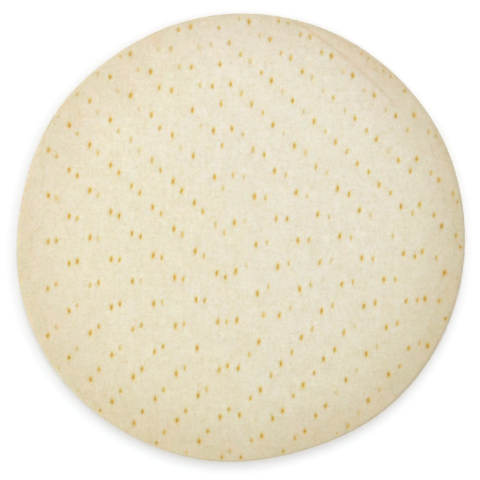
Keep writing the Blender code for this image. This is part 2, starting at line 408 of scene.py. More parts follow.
@dataclass(frozen=True)
class CrustShape:
    """The form of the crust: a wavy round outline, a rounded shoulder and a low dome."""

    thickness: float
    diameter: float = 304.8 * MM
    # The section: a rounded shoulder above the widest line, a tucked-in edge below it, and a dome.
    shoulder_height: float = 5.2 * MM
    shoulder_width: float = 3.0 * MM
    dome_width: float = 45.0 * MM
    widest_height: float = 2.6 * MM
    tuck_width: float = 2.8 * MM
    # A slow unevenness of the top.
    swell: float = 0.22 * MM
    swell_length: float = 118.0 * MM
    swell_phase_x: float = 1.1
    swell_phase_y: float = -0.4
    waves: tuple[EdgeWave, ...] = (
        EdgeWave(2, 1.09 * MM, -79.3),
        EdgeWave(3, 0.75 * MM, 73.7),
        EdgeWave(4, 0.30 * MM, 163.8),
        EdgeWave(6, 0.38 * MM, -135.4),
        EdgeWave(7, 0.22 * MM, 14.0),
        EdgeWave(9, 0.20 * MM, 125.4),
    )
    crease: Crease = Crease()
    centre_samples: int = 720

    def radius(self, angle: float) -> float:
        """Return the radius of the outline at an angle."""
        return self.diameter / 2 + sum(wave.offset(angle) for wave in self.waves)

    def inset(self, x: float, y: float) -> float:
        """Return how far inside the outline a point lies."""
        return self.radius(math.atan2(y, x)) - math.hypot(x, y)

    def centre(self) -> Point:
        """Return the middle of the outline's bounding box."""
        xs, ys = zip(*self.ring(0.0, self.centre_samples))
        return (min(xs) + max(xs)) / 2, (min(ys) + max(ys)) / 2

    def ring(self, inset: float, count: int) -> list[Point]:
        """Lay points round the outline.

        Args:
            inset: How far they are moved inwards.
            count: How many there are.

        Returns:
            The points, counterclockwise from +X.
        """
        angles = spread_angles(count)
        radii = [self.radius(angle) - inset for angle in angles]
        return [(radius * math.cos(angle), radius * math.sin(angle)) for radius, angle in zip(radii, angles)]

    def top(self, x: float, y: float) -> float:
        """Work out the height of the top, without its holes.

        Args:
            x: The point's x.
            y: The point's y.

        Returns:
            The height there.
        """
        inset = max(self.inset(x, y), 0.0)
        shoulder = math.sqrt(1.0 - max(1.0 - inset / self.shoulder_width, 0.0) ** 2)
        dome = 1.0 - max(1.0 - inset / self.dome_width, 0.0) ** 2
        wave = 2.0 * math.pi / self.swell_length
        across = math.sin(wave * x + self.swell_phase_x)
        swell = self.swell * (across * math.cos(wave * y + self.swell_phase_y) - 1.0)
        shoulder_rise = self.shoulder_height - self.widest_height - self.crease.drop(x, y)
        edge = self.widest_height + shoulder_rise * shoulder
        return edge + (self.thickness - self.shoulder_height + swell) * dome


@dataclass(frozen=True)
class Hole:
    """One docking hole: a narrow slot with soft sides."""

    x: float
    y: float
    width: float
    length: float
    tilt: float
    depth: float

    def loop(self, share: float, count: int) -> list[Point]:
        """Lay points round the hole.

        Args:
            share: The loop's size against the mouth's.
            count: How many points there are.

        Returns:
            The points, counterclockwise.
        """
        half_width, half_length = share * self.width / 2, share * self.length / 2
        offsets = [turned(half_width * math.cos(angle), half_length * math.sin(angle), self.tilt)
                   for angle in spread_angles(count)]
        return [(self.x + across, self.y + along) for across, along in offsets]

    def covers(self, x: float, y: float, share: float, gap: float) -> bool:
        """Tell whether a point lies in the mouth.

        Args:
            x: The point's x.
            y: The point's y.
            share: The size to which the mouth is scaled.
            gap: How much wider it is taken than that.

        Returns:
            Whether it lies there.
        """
        across, along = turned(x - self.x, y - self.y, -self.tilt)
        half_width = share * self.width / 2 + gap
        half_length = share * self.length / 2 + gap
        return math.hypot(across / half_width, along / half_length) < 1.0


@dataclass(frozen=True)
class RollerPass:
    """One trip of the pin roller over the dough."""

    column_step: float
    row_step: float
    column_rise: float
    first_x: float
    first_y: float
    section_step: float
    section_slip: tuple[float, ...]
    size: float
    depth: float
    depth_spread: float

    def marks(self, sections: int, columns: int, rows: int) -> Iterator[Point]:
        """Set the pins down, before the dough draws in.

        Args:
            sections: How many roller widths lie side by side.
            columns: How many columns of pins a roller has.
            rows: How many rows there are to either side of the middle.

        Yields:
            The place of each mark.
        """
        for section in range(sections):
            for column in range(columns):
                across = column * self.column_step + section * self.section_step
                for row in range(-rows, rows + 1):
                    if (row + column) % 2:
                        continue
                    rise = self.column_rise * across / self.column_step
                    y = self.first_y - self.row_step * row + rise + self.section_slip[section]
                    yield self.first_x + across, y


@dataclass(frozen=True)
class Docker:
    """The pin roller that pricked the dough in two passes, and how the dough set after it."""

    sections: int = 3
    columns: int = 9
    rows: int = 14
    # Holes keep a margin from the edge, within a slack; marks between it and the catch are drawn in to it.
    margin: float = 3.3 * MM
    catch: float = -0.5 * MM
    slack: float = 0.05 * MM
    # A full hole's size and tilt, how far they vary, and how close two holes may lie.
    length: float = 4.4 * MM
    slimness: float = 2.05
    size_spread: float = 0.08
    tilt: float = math.radians(-6.0)
    tilt_spread: float = math.radians(5.0)
    spacing: float = 4.8 * MM
    # Holes near the edge are shorter and shallower.
    plan_inset: float = 1.4 * MM
    edge_room: float = 0.6
    shallow_band: float = 10.0 * MM
    shallow_share: float = 0.75
    seed: int = 12
    # How brown a hole is: by its depth, by its side of the crust and by chance.
    bake_power: float = 1.9
    bake_spread: float = 0.25
    bake_side: float = math.radians(240.0)
    bake_lean: float = 0.42
    least_bake: float = 0.25
    # Pricks that closed again in the oven.
    healed_reach: float = 2.0 * MM
    healed_pricks: tuple[Point, ...] = tuple((x * MM, y * MM) for x, y in (
        (95.4, 4.4), (-40.9, 89.5), (-26.0, 47.8), (-23.5, -72.1), (5.1, -48.5), (19.9, -62.9)))
    # How the dough drew in: narrower towards +Y, leaning, squeezed along Y and stretched towards -Y.
    distortion_radius: float = 150.0 * MM
    keystone: float = 0.0356
    lean: float = 0.0271
    squeeze: float = 0.0453
    stretch: float = 0.0269
    burst: Hole = Hole(x=15.6 * MM, y=-51.6 * MM, width=2.8 * MM, length=4.2 * MM, tilt=0.0, depth=2.2 * MM)
    passes: tuple[RollerPass, ...] = (
        RollerPass(
            column_step=14.21 * MM, row_step=16.40 * MM, column_rise=1.46 * MM,
            first_x=-130.2 * MM, first_y=-2.3 * MM,
            section_step=126.4 * MM, section_slip=(0.0, 0.0, 0.0),
            size=1.0, depth=3.8 * MM, depth_spread=0.3 * MM),
        RollerPass(
            column_step=14.23 * MM, row_step=15.06 * MM, column_rise=0.70 * MM,
            first_x=-124.6 * MM, first_y=-1.6 * MM,
            section_step=128.3 * MM, section_slip=(0.0, 7.2 * MM, 5.4 * MM),
            size=0.9, depth=2.8 * MM, depth_spread=0.5 * MM),
    )

    def shifted(self, x: float, y: float) -> Point:
        """Move a mark as the dough drew in and set.

        Args:
            x: The x of the pin.
            y: The y of the pin.

        Returns:
            Where the mark ended up.
        """
        reach = (x * x + y * y) / self.distortion_radius ** 2
        moved_x = x - self.keystone * x * y / self.distortion_radius - self.lean * y
        moved_y = y - self.squeeze * y * reach - self.stretch * y * y / self.distortion_radius
        return moved_x, moved_y

    def drawn_in(self, shape: CrustShape, x: float, y: float) -> Point:
        """Move a mark near the edge as the rounding of the edge drew it in; others stay.

        Args:
            shape: The crust.
            x: The mark's x.
            y: The mark's y.

        Returns:
            Where the mark ended up.
        """
        radius = math.hypot(x, y)
        inside = shape.inset(x, y)
        if not self.catch < inside < self.margin:
            return x, y
        share = (radius - self.margin + inside) / radius
        return x * share, y * share

    def healed(self, x: float, y: float) -> bool:
        """Tell whether a prick is one of those that closed again in the oven."""
        return any(math.dist((x, y), prick) < self.healed_reach for prick in self.healed_pricks)

    def holes(self, shape: CrustShape) -> list[Hole]:
        """Work out the open holes.

        Args:
            shape: The crust that they are pricked into.

        Returns:
            The holes of both passes, and the burst blister last.
        """
        chance = random.Random(self.seed)
        holes: list[Hole] = []
        for roller in self.passes:
            for mark in roller.marks(self.sections, self.columns, self.rows):
                x, y = self.drawn_in(shape, *self.shifted(*mark))
                inside = shape.inset(x, y)
                if inside < self.margin - self.slack:
                    continue
                room = (inside - self.plan_inset) / (self.edge_room * self.length)
                length = self.length * roller.size * min(1.0, room)
                length *= 1.0 + chance.uniform(-self.size_spread, self.size_spread)
                tilt = chance.gauss(self.tilt, self.tilt_spread)
                depth = chance.gauss(roller.depth, roller.depth_spread)
                deeper = (1.0 - self.shallow_share) * ramp(inside, 0.0, self.shallow_band)
                depth *= self.shallow_share + deeper
                crowded = any(math.hypot(x - other.x, y - other.y) < self.spacing for other in holes)
                if not crowded and not self.healed(x, y):
                    holes.append(Hole(x, y, length / self.slimness, length, tilt, depth))
        return [*holes, self.burst]

    def baked(self, hole: Hole) -> float:
        """Tell how strongly the oven coloured a hole, by its depth and by the side it lies on.

        Args:
            hole: The hole.

        Returns:
            The strength, 1 for a usual hole of the first pass at the middle.
        """
        towards, _ = turned(hole.x, hole.y, -self.bake_side)
        share = (hole.depth / self.passes[0].depth) ** self.bake_power
        return share * (1.0 + self.bake_lean * towards / self.distortion_radius)

    def pins(self, holes: list[Hole], centre: Point) -> bpy.types.Object:
        """Set up the pins for the Geometry Nodes.

        Args:
            holes: The holes that they make.
            centre: The outline's middle, which moves to the origin.

        Returns:
            An object with one vertex for each pin, which carries the pin's values.
        """
        chance = random.Random(self.seed + 1)
        mesh = bpy.data.meshes.new("docker_pins")
        mesh.from_pydata([(hole.x - centre[0], hole.y - centre[1], 0.0) for hole in holes], [], [])
        carry(mesh, {
            Pin.HALF_WIDTH: [hole.width / 2 for hole in holes],
            Pin.HALF_LENGTH: [hole.length / 2 for hole in holes],
            Pin.TILT: [hole.tilt for hole in holes],
            Pin.DEPTH: [hole.depth for hole in holes],
            Pin.BAKE: [max(self.baked(hole) + chance.gauss(0.0, self.bake_spread), self.least_bake)
                       for hole in holes],
        })
        return linked("docker_pins", mesh)


@dataclass
class CrustBlank:
    """The crust before it is docked: one closed mesh, finest where the holes and the crease come."""

    shape: CrustShape
    holes: list[Hole]
    outline_points: int = 640
    top_spacing: float = 1.4 * MM
    under_spacing: float = 3.6 * MM
    shoulder_insets: tuple[float, ...] = (0.45 * MM, 0.22 * MM, 0.07 * MM)
    plan_inset: float = 0.75 * MM
    ring_insets: tuple[float, ...] = (1.3 * MM, 2.1 * MM, 3.1 * MM, 4.3 * MM, 5.6 * MM)
    grid_inset: float = 6.4 * MM
    spare_rows: int = 2
    tuck_steps: int = 7
    mouth_points: int = 12
    mouth_loops: tuple[float, ...] = (1.4, 1.1, 0.92, 0.75, 0.55, 0.3)
    hole_gap: float = 0.7 * MM
    search_reach: float = 6.0 * MM
    fold_step: float = 1.2 * MM
    fold_lines: tuple[float, ...] = (0.0, 0.5 * MM, 1.0 * MM, 1.7 * MM, 2.6 * MM)
    fold_clearance: float = 3.6 * MM
    merge_distance: float = 1e-9
    vertices: list[Place] = field(default_factory=list)
    under: list[float] = field(default_factory=list)
    faces: list[tuple[int, ...]] = field(default_factory=list)

    def __post_init__(self) -> None:
        self.finder = KDTree(len(self.holes))
        for number, hole in enumerate(self.holes):
            self.finder.insert((hole.x, hole.y, 0.0), number)
        self.finder.balance()

    def is_clear(self, x: float, y: float) -> bool:
        """Tell whether a point keeps clear of the loops round the holes."""
        near = self.finder.find_range((x, y, 0.0), self.search_reach)
        return not any(self.holes[number].covers(x, y, self.mouth_loops[0], self.hole_gap)
                       for _, number, _ in near)

    def on_fold(self, x: float, y: float) -> bool:
        """Tell whether a point lies where the crease has points of its own."""
        along, beyond = self.shape.crease.place(x, y)
        return abs(along) < self.shape.crease.half_length and abs(beyond) < self.fold_clearance

    def grid(self, spacing: float, inset: float) -> Iterator[Point]:
        """Lay a triangular grid of points.

        Args:
            spacing: How far apart they stand.
            inset: How far inside the outline they keep.

        Yields:
            The points.
        """
        rise = spacing * math.sqrt(3.0) / 2
        reach = int(self.shape.diameter / 2 / rise) + self.spare_rows
        for row in range(-reach, reach + 1):
            for column in range(-reach, reach + 1):
                x = spacing * (column + 0.5 * (row % 2))
                y = rise * row
                if self.shape.inset(x, y) > inset:
                    yield x, y

    def top_points(self) -> Iterator[Point]:
        """Lay the loose points of the top: rings along its edge, a grid and lines along the crease.

        Yields:
            The points.
        """
        for inset in self.ring_insets:
            yield from self.shape.ring(inset, self.outline_points)
        for point in self.grid(self.top_spacing, self.grid_inset):
            if not self.on_fold(*point):
                yield point
        crease = self.shape.crease
        steps = int(crease.half_length / self.fold_step)
        for offset in sorted({side * line for line in self.fold_lines for side in (-1.0, 1.0)}):
            for step in range(-steps, steps + 1):
                point = crease.point(step * self.fold_step, offset)
                if self.shape.inset(*point) > self.grid_inset:
                    yield point

    def add(self, place: Place, under: float = 0.0) -> int:
        """Add a vertex.

        Args:
            place: Where it is.
            under: 0 on top, 1 on the underside.

        Returns:
            Its number.
        """
        self.vertices.append(place)
        self.under.append(under)
        return len(self.vertices) - 1

    def raised(self, x: float, y: float) -> int:
        """Add a vertex on the top and return its number."""
        return self.add((x, y, self.shape.top(x, y)))

    def filled(self, points: list[Point], edges: list[tuple[int, int]]) -> tuple[list, list[int], list]:
        """Triangulate points along some edges; return the points, their old numbers and the triangles."""
        coords, _, triangles, origins, _, _ = delaunay_2d_cdt(points, edges, [], 1, self.merge_distance)
        return coords, [origin[0] for origin in origins], triangles

    def stitch(self, upper: list[int], lower: list[int]) -> None:
        """Join two loops of vertices by quads."""
        for (corner, following), (below, below_following) in zip(neighbours(upper), neighbours(lower)):
            self.faces.append((corner, below, below_following, following))

    def lay_top(self) -> list[int]:
        """Make the top with its structured loops round the holes.

        Returns:
            The numbers of the vertices along its edge.
        """
        points = self.shape.ring(self.plan_inset, self.outline_points)
        edges = neighbours(range(self.outline_points))
        for hole in self.holes:
            edges += neighbours(range(len(points), len(points) + self.mouth_points))
            points += hole.loop(self.mouth_loops[0], self.mouth_points)
        mouths_end = len(points)
        points += [point for point in self.top_points() if self.is_clear(*point)]
        coords, origins, triangles = self.filled(points, edges)
        numbers = {origin: self.raised(*point) for point, origin in zip(coords, origins)}
        # The triangles within a mouth are left out, because line_mouth fills it with finer loops.
        mouth_of = {origin: (origin - self.outline_points) // self.mouth_points
                    for origin in range(self.outline_points, mouths_end)}
        for triangle in triangles:
            mouths = {mouth_of.get(origins[corner], -1 - corner) for corner in triangle}
            if len(mouths) > 1:
                self.faces.append(tuple(numbers[origins[corner]] for corner in triangle))
        for index, hole in enumerate(self.holes):
            start = self.outline_points + index * self.mouth_points
            self.line_mouth(hole, [numbers[start + step] for step in range(self.mouth_points)])
        return [numbers[index] for index in range(self.outline_points)]

    def line_mouth(self, hole: Hole, outer: list[int]) -> None:
        """Fill a hole's outer loop with finer loops and a middle point.

        Args:
            hole: The hole.
            outer: The vertices of the loop.
        """
        for share in self.mouth_loops[1:]:
            inner = [self.raised(*point) for point in hole.loop(share, self.mouth_points)]
            self.stitch(inner, outer)
            outer = inner
        middle = self.raised(hole.x, hole.y)
        self.faces += [(*pair, middle) for pair in neighbours(outer)]

    def wrap_edge(self, upper: list[int]) -> list[int]:
        """Carry the skin over the shoulder and round under the edge.

        Args:
            upper: The vertices along the top's edge.

        Returns:
            The vertices of the ring where the underside starts.
        """
        shape = self.shape
        loops = [[self.raised(*point) for point in shape.ring(inset, self.outline_points)]
                 for inset in self.shoulder_insets]
        for step in range(self.tuck_steps + 1):
            turn = math.pi / 2 * step / self.tuck_steps
            height = shape.widest_height * (1.0 - math.sin(turn))
            points = shape.ring(shape.tuck_width * (1.0 - math.cos(turn)), self.outline_points)
            loops.append([self.add((x, y, height), step / self.tuck_steps) for x, y in points])
        for lower in loops:
            self.stitch(upper, lower)
            upper = lower
        return upper

    def close_underside(self, edge: list[int]) -> None:
        """Make the flat underside.

        Args:
            edge: The vertices of the ring round it.
        """
        points = [self.vertices[number][:2] for number in edge]
        points += self.grid(self.under_spacing, self.shape.tuck_width + self.under_spacing / 2)
        coords, origins, triangles = self.filled(points, neighbours(range(len(edge))))
        numbers = {origin: self.add((point.x, point.y, 0.0), 1.0) if origin >= len(edge) else edge[origin]
                   for point, origin in zip(coords, origins)}
        for triangle in triangles:
            self.faces.append(tuple(numbers[origins[corner]] for corner in reversed(triangle)))

    def mesh(self) -> bpy.types.Mesh:
        """Build the blank.

        Returns:
            The mesh, with the values that its finish reads.
        """
        self.close_underside(self.wrap_edge(self.lay_top()))
        middle_x, middle_y = self.shape.centre()
        mesh = bpy.data.meshes.new("crust_blank")
        mesh.from_pydata([(x - middle_x, y - middle_y, z) for x, y, z in self.vertices], [], self.faces)
        carry(mesh, {
            Skin.INSET: [max(self.shape.inset(x, y), 0.0) for x, y, _ in self.vertices],
            Skin.UNDER: self.under,
            Skin.FOLD: [self.shape.crease.stain(x, y) for x, y, _ in self.vertices],
        })
        mesh.shade_smooth()
        return mesh


# ---- Docking and baking the blank ----------------------------------------------------------------------


@dataclass(frozen=True)
class Baking:
    """How the pins and the oven press and lift the skin: the named inputs of the Geometry Nodes."""

    # How far up the skin faces where the top starts, and where it is all top.
    top_start: float = 0.15
    top_full: float = 0.5
    # The pits and their stains, with reaches in half widths and half lengths of a hole.
    pit_share: float = 0.24
    pit_floor: float = 0.12
    pit_rim: float = 1.15
    stain_core: float = 0.25
    stain_rim: float = 1.44
    stain_gain: float = 1.13
    # The stains grow rounder towards the edge.
    round_reach: float = 75.0 * MM
    rounding: float = 0.27
    # The halo round a pit, with a reach of that kind, and how far it sinks.
    halo_reach: float = 1.9
    dimple: float = 0.12 * MM
    # How far aside the floor of a usual pit lies.
    lean_across: float = 0.35 * MM
    lean_along: float = -0.40 * MM
    # The skin's relief, crumb and blisters, which all stay below the blank by a gap.
    skin_gap: float = 0.03 * MM
    relief_height: float = 0.16 * MM
    relief_size: float = 11.0 * MM
    crumb_height: float = 0.07 * MM
    crumb_size: float = 4.5 * MM
    blister_height: float = 0.14 * MM
    blister_spacing: float = 9.0 * MM
    blister_density: float = 1.0e5
    blister_smallest: float = 2.2 * MM
    blister_largest: float = 5.0 * MM
    seed: int = 7

    @staticmethod
    def label(name: str) -> str:
        """Return the words under which a field stands among the tree's inputs."""
        return name.replace("_", " ").capitalize()

    def tree(self) -> bpy.types.NodeTree:
        """Build the node tree.

        Returns:
            The tree, whose inputs are the blank, the pins, the finish and every field of this class.
        """
        tree = bpy.data.node_groups.new("docking_and_baking", "GeometryNodeTree")
        graph = Graph(tree)
        tree.interface.new_socket(name="Geometry", in_out="OUTPUT", socket_type="NodeSocketGeometry")
        kinds = {"Geometry": "Geometry", "Pins": "Object", "Finish": "Material"}
        kinds |= {self.label(item.name): "Int" if item.type is int else "Float" for item in fields(self)}
        for name, kind in kinds.items():
            tree.interface.new_socket(name=name, in_out="INPUT", socket_type=f"NodeSocket{kind}")
        entry = graph.node("NodeGroupInput")
        inputs = {socket.name: Expr(graph, socket) for socket in entry.outputs if socket.name}
        sizes = SimpleNamespace(**{item.name: inputs[self.label(item.name)] for item in fields(self)})

        normal = graph.expr("GeometryNodeInputNormal")
        upward = graph.rise(graph.split(normal)[2], sizes.top_start, sizes.top_full)
        across, along, depth, bake = self.nearest_pin(graph, inputs["Pins"])
        reach = graph.length(across, along)
        pit = graph.rise(reach, sizes.pit_rim, sizes.pit_floor) * upward
        rounder = graph.rise(graph.named(Skin.INSET), sizes.round_reach, 0.0) * sizes.rounding + 1.0
        soaked = graph.length(across / rounder, along * rounder)
        stain = graph.rise(soaked, sizes.stain_rim, sizes.stain_core) * upward
        halo = graph.rise(reach, sizes.halo_reach, 1.0) * upward
        lean = pit * depth / Docker.passes[0].depth
        sink = pit * depth * sizes.pit_share + halo * sizes.dimple
        pressed = graph.combined(sizes.lean_across * lean, sizes.lean_along * lean, -1.0 * sink)
        lifted = graph.scaled(normal, self.skin_lift(graph, inputs["Geometry"], sizes))
        skin = graph.expr("GeometryNodeSetPosition", None, {
            "Geometry": inputs["Geometry"], "Offset": graph.vector("ADD", pressed, lifted)})
        prick = graph.math("MINIMUM", stain * sizes.stain_gain, bake)
        for kind, value in ((Skin.PRICK, prick), (Skin.HALO, halo * bake)):
            skin = graph.expr("GeometryNodeStoreNamedAttribute", {"data_type": "FLOAT", "domain": "POINT"}, {
                "Geometry": skin, "Name": kind.value, "Value": value})
        real = graph.expr("GeometryNodeRealizeInstances", None, {"Geometry": skin})
        dressed = graph.expr("GeometryNodeSetMaterial", None, {
            "Geometry": real, "Material": inputs["Finish"]})
        graph.node("NodeGroupOutput", None, {"Geometry": dressed})
        return tree

    @staticmethod
    def nearest_pin(graph: Graph, pins: Expr) -> tuple[Expr, Expr, Expr, Expr]:
        """Look up the pin nearest to each point.

        Args:
            graph: The tree's graph.
            pins: The object that holds the pins.

        Returns:
            How far the point lies across and along the pin's mouth, as shares of its half width and half
            length, and the pin's depth and bake.
        """
        geometry = graph.expr("GeometryNodeObjectInfo", None, {"Object": pins}, "Geometry")
        flat = graph.flattened(graph.position())
        index = graph.nearest(geometry, flat)
        half_width, half_length, tilt, depth, bake = (
            graph.sampled(geometry, index, graph.named(pin)) for pin in Pin)
        centre = graph.sampled(geometry, index, graph.position(), "FLOAT_VECTOR")
        x, y, _ = graph.split(graph.vector("SUBTRACT", flat, centre))
        cosine, sine = graph.math("COSINE", tilt), graph.math("SINE", tilt)
        across = (x * cosine + y * sine) / half_width
        along = (y * cosine - x * sine) / half_length
        return across, along, depth, bake

    @staticmethod
    def skin_lift(graph: Graph, blank: Expr, sizes: SimpleNamespace) -> Expr:
        """Work out how far the baked skin stands off the blank's.

        Args:
            graph: The tree's graph.
            blank: The blank's geometry.
            sizes: The tree's inputs, by the names of this class's fields.

        Returns:
            The lift along the normal, below zero where the skin lies deeper.
        """
        place = graph.position()
        blisters = graph.expr("GeometryNodeDistributePointsOnFaces", {"distribute_method": "POISSON"}, {
            "Mesh": blank, "Distance Min": sizes.blister_spacing, "Density Max": sizes.blister_density,
            "Seed": sizes.seed})
        index = graph.nearest(blisters, place)
        size = graph.expr("FunctionNodeRandomValue", {"data_type": "FLOAT"}, {
            "Min": sizes.blister_smallest, "Max": sizes.blister_largest, "Seed": sizes.seed}, "Value")
        centre = graph.sampled(blisters, index, graph.position(), "FLOAT_VECTOR")
        away = graph.vector("DISTANCE", place, centre, output="Value")
        blister = graph.rise(away, graph.sampled(blisters, index, size), 0.0) * sizes.blister_height
        relief = graph.noise(place, sizes.relief_size) * sizes.relief_height
        crumb = graph.noise(place, sizes.crumb_size) * sizes.crumb_height
        return blister - relief - crumb - (sizes.blister_height + sizes.skin_gap)

    def press(self, blank: bpy.types.Mesh, pins: bpy.types.Object,
              finish: bpy.types.Material) -> bpy.types.Object:
        """Dock and bake the blank.

        Args:
            blank: The blank's mesh.
            pins: The object that holds the pins; it is used up.
            finish: The material of the dough.

        Returns:
            The crust, as a plain mesh.
        """
        tree = self.tree()
        holder = linked("crust_blank", blank)
        modifier = holder.modifiers.new("docking_and_baking", "NODES")
        modifier.node_group = tree
        sockets = {item.name: item.identifier for item in tree.interface.items_tree
                   if item.item_type == "SOCKET" and item.in_out == "INPUT"}
        modifier[sockets["Pins"]] = pins
        modifier[sockets["Finish"]] = finish
        for item in fields(self):
            modifier[sockets[self.label(item.name)]] = getattr(self, item.name)
        graph = bpy.context.evaluated_depsgraph_get()
        mesh = bpy.data.meshes.new_from_object(holder.evaluated_get(graph), depsgraph=graph)
        mesh.name = "dressed_crust"
        holder.modifiers.remove(modifier)
        bpy.data.objects.remove(holder)
        bpy.data.objects.remove(pins)
        return linked("dressed_crust", mesh)


# ---- Finishes ------------------------------------------------------------------------------------------


@dataclass(frozen=True)
class Cloud:
    """Cloudy noise on a finish, and the two values of it between which a share rises from 0 to 1."""

    size: float
    detail: float = 2.0
    roughness: float = 0.5
    start: float = 0.3
    end: float = 0.7
    stretch: Place = (1.0, 1.0, 1.0)
    shift: Place = (0.0, 0.0, 0.0)

    def noise(self, graph: Graph) -> Expr:
        """Return the noise, from 0 to 1 about a middle of a half."""
        drawn = graph.vector("MULTIPLY_ADD", graph.place(), self.stretch, self.shift)
        return graph.noise(drawn, self.size, self.detail, self.roughness)

    def share(self, graph: Graph, drift: Operand = 0.0) -> Expr:
        """Return the share, with a drift added to the noise."""
        return graph.rise(self.noise(graph) + drift, self.start, self.end)


@dataclass(frozen=True)
class Lean:
    """How much higher a value is on one side of the crust, and lower on the far side."""

    side: float
    amount: float

    def factor(self, graph: Graph) -> Expr:
        """Work out the factor on the value.

        Args:
            graph: The material's graph.

        Returns:
            The factor, 1 on average.
        """
        towards = (*turned(1.0, 0.0, math.radians(self.side)), 0.0)
        away = graph.vector("NORMALIZE", graph.flattened(graph.place()))
        return graph.dot(away, towards) * self.amount + 1.0


@dataclass(frozen=True)
class Finish:
    """A material and its main colour."""

    name: str
    main_colour: Colour

    def shader(self, graph: Graph) -> Expr:
        """Return the shader that gives the surface its look."""
        raise NotImplementedError

    def material(self) -> bpy.types.Material:
        """Build the material.

        Returns:
            The material.
        """
        material = bpy.data.materials.new(self.name)
        material.use_nodes = True
        graph = Graph(material.node_tree)
        graph.node("ShaderNodeOutputMaterial", None, {"Surface": self.shader(graph)})
        material.diffuse_color = self.main_colour
        return material


